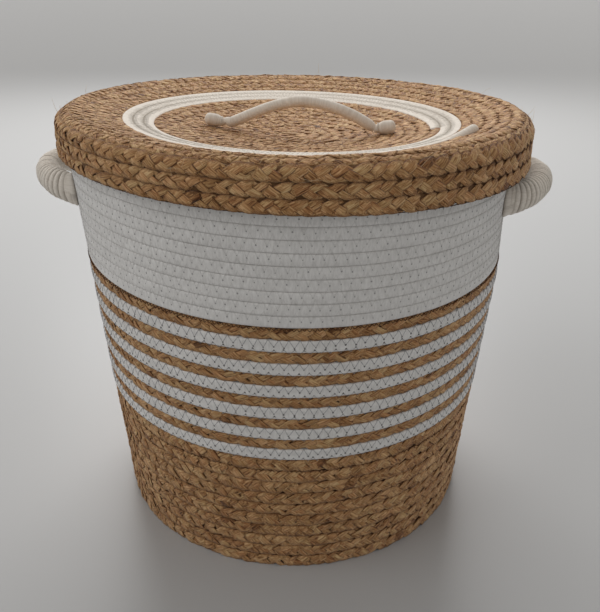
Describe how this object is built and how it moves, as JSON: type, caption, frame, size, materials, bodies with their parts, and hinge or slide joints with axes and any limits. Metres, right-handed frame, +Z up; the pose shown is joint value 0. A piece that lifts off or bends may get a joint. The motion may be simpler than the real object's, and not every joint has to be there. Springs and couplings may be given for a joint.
{
  "type": "laundry basket",
  "caption": "Round tapered laundry basket of sewn straw braid and white rope courses, with wrapped side handles and a loose dished lid with a rope handle.",
  "frame": {"origin": "centre of the base, on the floor", "axes": "+Z up, +X towards the right-hand side handle, -Y towards the front"},
  "size_m": [0.4594, 0.3976, 0.3707],
  "materials": {
    "straw_braid": "dry plaited straw, matt with a faint sheen along the fibres",
    "white_rope": "matt sewn cotton rope with zigzag stitches",
    "ivory_cord": "matt cotton cord"
  },
  "bodies": {
    "basket": {"base_coil": "straw_braid", "lower_straw_wall": "straw_braid", "white_stripe_1": "white_rope", "straw_stripe_1": "straw_braid", "white_stripe_2": "white_rope", "straw_stripe_2": "straw_braid", "white_stripe_3": "white_rope", "straw_stripe_3": "straw_braid", "white_stripe_4": "white_rope", "straw_stripe_4": "straw_braid", "white_stripe_5": "white_rope", "straw_stripe_5": "straw_braid", "white_stripe_6": "white_rope", "straw_stripe_6": "straw_braid", "upper_rope_wall": "white_rope", "right_handle_core": "ivory_cord", "right_handle_wrap": "ivory_cord", "left_handle_core": "ivory_cord", "left_handle_wrap": "ivory_cord"},
    "lid": {"lid_centre_coil": "straw_braid", "lid_white_band": "ivory_cord", "lid_outer_coil": "straw_braid", "lid_skirt": "straw_braid", "lid_handle_right_stub": "ivory_cord", "lid_handle_right_stitch": "ivory_cord", "lid_handle_left_stub": "ivory_cord", "lid_handle_left_stitch": "ivory_cord"},
    "lid_handle": {"lid_handle_arch": "ivory_cord"}
  },
  "joints": [
    {"name": "lid_lift", "type": "slide", "parent": "basket", "child": "lid", "axis": [0, 0, 1], "range_m": [0, 0.15]},
    {"name": "lid_handle_lean", "type": "hinge", "parent": "lid", "child": "lid_handle", "pos_m": [0, 0, 0.34641], "axis": [0.9934, -0.1149, 0], "range_deg": [-75, 75], "stiffness_Nm_per_rad": 0.03}
  ]
}
